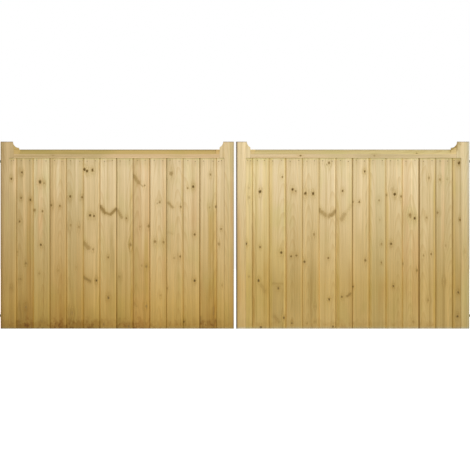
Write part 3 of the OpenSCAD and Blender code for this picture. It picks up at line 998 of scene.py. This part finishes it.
def dress_braces(side):
    """Timber of a leaf's braces, with the grain along their slope."""
    node = f"{side}_braces"
    low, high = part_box(node)
    bay_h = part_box(f"{side}_middle_rail")[0].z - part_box(f"{side}_bottom_rail")[1].z
    slope = math.atan2(bay_h, high.x - low.x) * (1 if side == "left" else -1)
    along = (math.cos(slope), 0.0, math.sin(slope))
    across = (-math.sin(slope), 0.0, math.cos(slope))
    seed = LEAF_SEEDS[side] + FRAME_SEEDS["braces"]
    dress(node, timber(node, side, middle_of(node), along, across, FRAME[node], seed))
    ease_edges(node, RAIL_EASE)


for side in SIDES:
    dress_boards(side)
    dress_stiles(side)
    dress_rails(side)
    dress_braces(side)

# Steel of the hinges

steel = galvanised()
dull_steel = weathered_nail()
for side in SIDES:
    for part in ("bands", "hooks"):
        dress(f"{side}_{part}", steel)
        ease_edges(f"{side}_{part}", STEEL_EASE)

# Nail heads and coach screws, as rings of a radius and how far each stands out

TO_FRONT = -1.0
TO_BACK = 1.0
NAIL_RINGS = (
    (2.6 * MM, -0.4 * MM), (3.0 * MM, 0.2 * MM), (2.5 * MM, 0.6 * MM), (1.2 * MM, 0.8 * MM))
NAIL_SIDES = 12
WASHER_T = 1.8 * MM
WASHER_RINGS = (
    (12.0 * MM, 0.0), (12.0 * MM, 1.4 * MM), (11.4 * MM, WASHER_T), (5.0 * MM, WASHER_T))
WASHER_SIDES = 24
HEX_RINGS = ((9.8 * MM, WASHER_T), (9.8 * MM, 7.2 * MM), (8.4 * MM, 8.2 * MM))
HEX_SIDES = 6
SHANK_RINGS = ((4.9 * MM, -5.5 * MM), (4.9 * MM, 1.0 * MM))
SHANK_SIDES = 16


def turned(bm, rings, sides, place, way):
    """Add a closed solid of rings about a line along Y."""
    angles = [2 * math.pi * (k + 0.5) / sides for k in range(sides)]
    loops = []
    for radius, out in rings:
        spokes = [(radius * math.cos(a), way * out, radius * math.sin(a)) for a in angles]
        loops.append([bm.verts.new(place + Vector(spoke)) for spoke in spokes])
    for lower, upper in zip(loops, loops[1:]):
        for k in range(sides):
            bm.faces.new((lower[k], lower[k - 1], upper[k - 1], upper[k]))
    bm.faces.new(loops[0])
    bm.faces.new(reversed(loops[-1]))


def fastener_mesh(name, bm, body, material):
    """Turn what is in bm into a piece of steel that rides on a body."""
    bmesh.ops.recalc_face_normals(bm, faces=bm.faces)
    mesh = bpy.data.meshes.new(name)
    bm.to_mesh(mesh)
    bm.free()
    mesh.materials.append(material)
    piece = bpy.data.objects.new(name, mesh)
    bpy.context.scene.collection.objects.link(piece)
    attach(piece, body)


def nails(side):
    """Nail heads of a leaf's boards, two to a board under the top rail."""
    bm = bmesh.new()
    for number in range(1, BOARD_COUNT + 1):
        middle = board_middle(side, number)[0]
        for height, across in nail_places(side, number):
            place = Vector((middle[0] + across * MM, BOARD_Y, FOOT_Z + height * MM))
            turned(bm, NAIL_RINGS, NAIL_SIDES, place, TO_FRONT)
    fastener_mesh(f"{side}_nails", bm, f"{side}_leaf", dull_steel)


def coach_screws(side):
    """Hexagon heads, washers and shanks of the screws in a leaf's two bands."""
    low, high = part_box(f"{side}_bands")
    stile_low, stile_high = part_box(f"{side}_hanging_stile")
    face_y = stile_high.y + BAND_T
    tip_x, way = (high.x, 1.0) if side == "left" else (low.x, -1.0)
    first = tip_x - way * (BAND_L - (stile_high.x - stile_low.x) / 2)
    last = tip_x - way * BAND_W / 2
    bm = bmesh.new()
    for z in (low.z + BAND_W / 2, high.z - BAND_W / 2):
        for k in range(BAND_SCREWS):
            x = first + (last - first) * k / (BAND_SCREWS - 1)
            place = Vector((x, face_y, z))
            turned(bm, WASHER_RINGS, WASHER_SIDES, place, TO_BACK)
            turned(bm, HEX_RINGS, HEX_SIDES, place, TO_BACK)
            turned(bm, SHANK_RINGS, SHANK_SIDES, place, TO_BACK)
    fastener_mesh(f"{side}_coach_screws", bm, f"{side}_leaf", steel)


for side in SIDES:
    nails(side)
    coach_screws(side)

# Stage, light and camera

WHITE = (1.0, 1.0, 1.0, 1.0)
FLOOR_WHITE = (0.92, 0.92, 0.92, 1.0)
FLOOR_GLOW = 0.5
FLOOR_DROP = 60 * MM
FLOOR_HALF = 80.0
WORLD_STRENGTH = 0.52
SUN_SPREAD = 25
PHOTO_W = 470
GATE_W_IN_PHOTO = 469.0
CAMERA_AWAY = 40.0
CAMERA_LIFT = 1.1 * MM
CAMERA_CLIP = 200.0
SENSOR = 36.0


def seen_directly(g):
    """One for rays from the camera, or that reach it by a reflection or through glass."""
    path = g.node("ShaderNodeLightPath").outputs
    mirrored = g.math("MAXIMUM", path["Is Glossy Ray"], path["Is Transmission Ray"])
    return g.math("MAXIMUM", path["Is Camera Ray"], mirrored)


def white_floor():
    """Pale floor that keeps the gate's shadow."""
    mesh = bpy.data.meshes.new("floor")
    z = FOOT_Z - FLOOR_DROP
    ways = ((-1, -1), (1, -1), (1, 1), (-1, 1))
    corners = [(MID_X + way_x * FLOOR_HALF, way_y * FLOOR_HALF, z) for way_x, way_y in ways]
    mesh.from_pydata(corners, [], [(0, 1, 2, 3)])
    floor = bpy.data.objects.new("floor", mesh)
    bpy.context.scene.collection.objects.link(floor)
    material, g = new_material("floor_white")
    diffuse = g.node("ShaderNodeBsdfDiffuse", {"Color": FLOOR_WHITE}).outputs[0]
    strength = g.times(seen_directly(g), FLOOR_GLOW)
    glow = g.node("ShaderNodeEmission", {"Color": WHITE, "Strength": strength}).outputs[0]
    both = g.node("ShaderNodeAddShader", {0: diffuse, 1: glow}).outputs[0]
    g.node("ShaderNodeOutputMaterial", {"Surface": both})
    mesh.materials.append(material)


def white_world():
    """World that is white to look at and lights the gate evenly."""
    world = bpy.data.worlds.new("studio")
    bpy.context.scene.world = world
    world.use_nodes = True
    world.node_tree.nodes.clear()
    g = Graph(world.node_tree)
    strength = g.math("MULTIPLY_ADD", seen_directly(g), 1.0 - WORLD_STRENGTH, WORLD_STRENGTH)
    sky = g.node("ShaderNodeBackground", {"Color": WHITE, "Strength": strength}).outputs[0]
    g.node("ShaderNodeOutputWorld", {"Surface": sky})


def soft_sun(name, direction, strength):
    """Broad sun that shines in a direction."""
    light = bpy.data.lights.new(name, "SUN")
    light.energy = strength
    light.angle = math.radians(SUN_SPREAD)
    lamp = bpy.data.objects.new(name, light)
    bpy.context.scene.collection.objects.link(lamp)
    lamp.rotation_euler = Vector(direction).to_track_quat("-Z", "Y").to_euler()


def front_camera():
    """Camera square to the front, with the pair as wide in the picture as in the photograph."""
    camera = bpy.data.cameras.new("camera")
    camera.sensor_width = SENSOR
    camera.lens = SENSOR * CAMERA_AWAY / (PAIR_W * PHOTO_W / GATE_W_IN_PHOTO)
    camera.clip_end = CAMERA_CLIP
    view_point = bpy.data.objects.new("camera", camera)
    view_point.location = (MID_X, FRONT_Y - CAMERA_AWAY, FOOT_Z + LEAF_H / 2 + CAMERA_LIFT)
    view_point.rotation_euler = (math.radians(90), 0.0, 0.0)
    bpy.context.scene.collection.objects.link(view_point)
    bpy.context.scene.camera = view_point


white_floor()
white_world()
soft_sun("key", direction=(-0.6, 1.0, -0.5), strength=1.61)
soft_sun("back", direction=(0.5, -1.0, -0.5), strength=1.1)
front_camera()
bpy.context.scene.view_settings.view_transform = "Standard"
